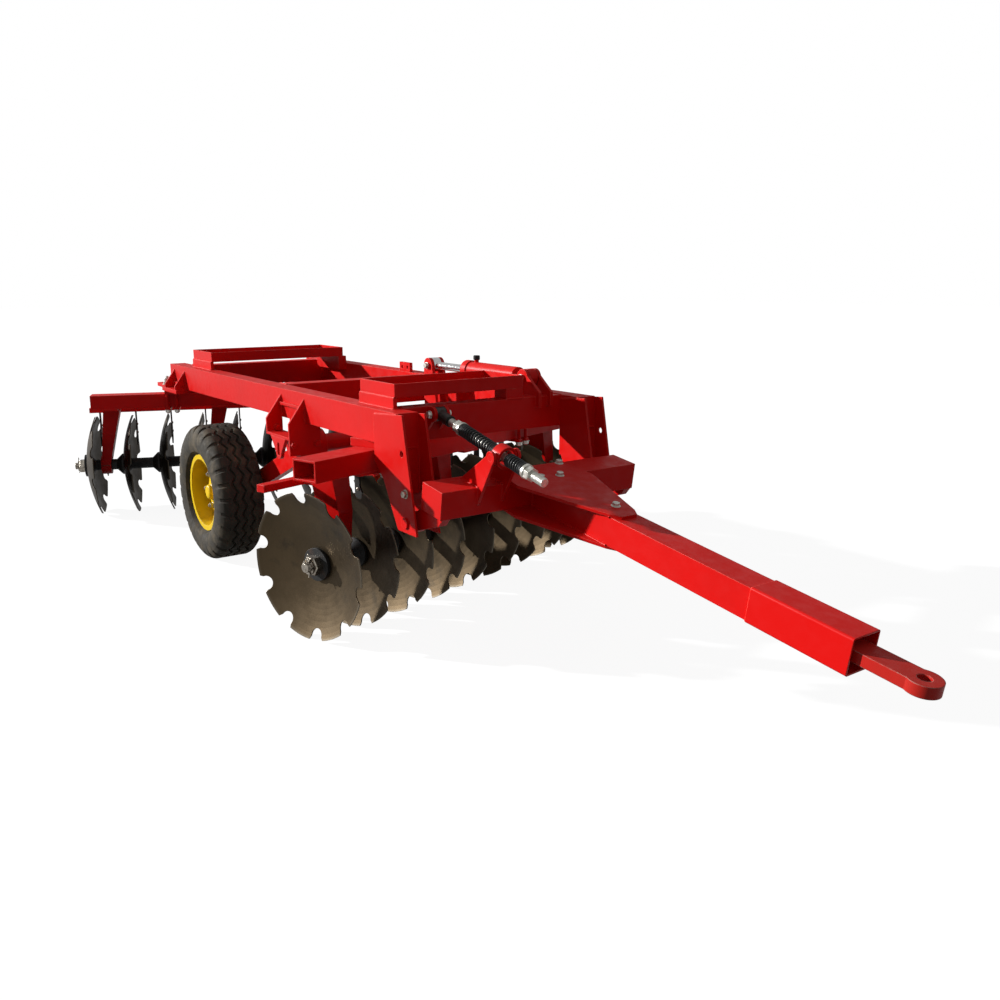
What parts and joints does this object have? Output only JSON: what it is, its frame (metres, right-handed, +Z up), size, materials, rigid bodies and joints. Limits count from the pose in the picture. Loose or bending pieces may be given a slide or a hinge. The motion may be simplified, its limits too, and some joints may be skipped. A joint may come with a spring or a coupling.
{
  "type": "trailed offset disc harrow",
  "caption": "Trailed offset disc harrow with notched disc gangs, a rectangular frame with weight trays, lifting transport wheels, a lift cylinder and a pivoting hitch tongue.",
  "frame": {"origin": "on the ground below the middle of the machine's bounding box", "axes": "+X forward to the hitch eye, +Y to the machine's left, +Z up"},
  "size_m": [5.7411, 2.302, 1.17],
  "materials": {
    "red_paint": "gloss",
    "disc_steel": "satin",
    "cast_spool": "satin",
    "zinc_steel": "satin",
    "chrome_rod": "gloss",
    "black_spring": "satin",
    "forged_eye": "satin",
    "yellow_paint": "gloss",
    "tyre_rubber": "matte"
  },
  "bodies": {
    "frame": {"side_beams": "red_paint", "front_cross_beam": "red_paint", "middle_cross_beam": "red_paint", "rear_cross_beam": "red_paint", "front_weight_tray": "red_paint", "rear_weight_tray": "red_paint", "tray_feet": "red_paint", "corner_brackets": "red_paint", "hitch_pivot_pins": "zinc_steel", "rockshaft_brackets": "red_paint", "rockshaft_bearings": "red_paint", "hanging_loops": "red_paint", "rear_brackets": "red_paint", "rear_mount_plates": "red_paint", "cylinder_bracket": "red_paint", "levelling_lugs": "red_paint", "lock_lug": "red_paint", "front_gang_beam": "red_paint", "front_gang_clamps": "red_paint", "front_hangers": "red_paint", "front_bearings": "red_paint", "front_scraper_bar": "red_paint", "front_scrapers": "disc_steel", "rear_gang_beam": "red_paint", "rear_gang_clamps": "red_paint", "rear_hangers": "red_paint", "rear_bearings": "red_paint", "rear_scraper_bar": "red_paint", "rear_scrapers": "disc_steel"},
    "hitch": {"hitch_beam": "red_paint", "hitch_top_plate": "red_paint", "hitch_bottom_plate": "red_paint", "tongue_tube": "red_paint", "tongue_sleeve": "red_paint", "hitch_eye": "forged_eye", "trunnion_lugs": "red_paint", "trunnion_ring": "red_paint"},
    "levelling": {"levelling_rod": "zinc_steel", "levelling_springs": "black_spring"},
    "lift": {"rockshaft": "red_paint", "wheel_arms": "red_paint", "lift_lever": "red_paint"},
    "wheel_right": {"wheel_rim_right": "yellow_paint", "tyre_right": "tyre_rubber"},
    "wheel_left": {"wheel_rim_left": "yellow_paint", "tyre_left": "tyre_rubber"},
    "front_gang": {"front_discs": "disc_steel", "front_gang_shaft": "cast_spool"},
    "rear_gang": {"rear_discs": "disc_steel", "rear_gang_shaft": "cast_spool"},
    "cylinder": {"cylinder_barrel": "red_paint"},
    "cylinder_ram": {"cylinder_rod": "chrome_rod"}
  },
  "joints": [
    {"name": "front_gang_spin", "type": "hinge", "parent": "frame", "child": "front_gang", "pos_m": [0.4333, -0.8525, 0.33], "axis": [-0.3057, 0.9521, 0], "continuous": true},
    {"name": "rear_gang_spin", "type": "hinge", "parent": "frame", "child": "rear_gang", "pos_m": [-2.5591, -0.9964, 0.33], "axis": [0.3371, 0.9415, 0], "continuous": true},
    {"name": "transport_lift", "type": "hinge", "parent": "frame", "child": "lift", "pos_m": [-0.145, -0.115, 0.762], "axis": [0, -1, 0], "range_deg": [-7, 15]},
    {"name": "wheel_right_spin", "type": "hinge", "parent": "lift", "child": "wheel_right", "pos_m": [-1.077, -0.691, 0.38], "axis": [0, 1, 0], "continuous": true},
    {"name": "wheel_left_spin", "type": "hinge", "parent": "lift", "child": "wheel_left", "pos_m": [-1.077, 0.461, 0.38], "axis": [0, 1, 0], "continuous": true},
    {"name": "hitch_pivot", "type": "hinge", "parent": "frame", "child": "hitch", "pos_m": [0.93, -0.115, 0.6], "axis": [0, -1, 0], "range_deg": [-8, 8]},
    {"name": "levelling_swing", "type": "hinge", "parent": "frame", "child": "levelling", "pos_m": [0.783, -0.385, 1.001], "axis": [0, -1, 0], "range_deg": [-5, 5]},
    {"name": "cylinder_swing", "type": "hinge", "parent": "frame", "child": "cylinder", "pos_m": [0.645, 0.195, 1.108], "axis": [0, -1, 0], "range_deg": [-2, 3]},
    {"name": "cylinder_stroke", "type": "slide", "parent": "cylinder", "child": "cylinder_ram", "axis": [-1, 0, 0], "range_m": [-0.06, 0.11]}
  ],
  "couplings": [
    {"joint": "levelling_swing", "follows": "hitch_pivot", "ratio": 0.49566},
    {"joint": "cylinder_swing", "follows": "transport_lift", "ratio": 0.07162},
    {"joint": "cylinder_stroke", "follows": "transport_lift", "m_per_rad": 0.34023}
  ]
}
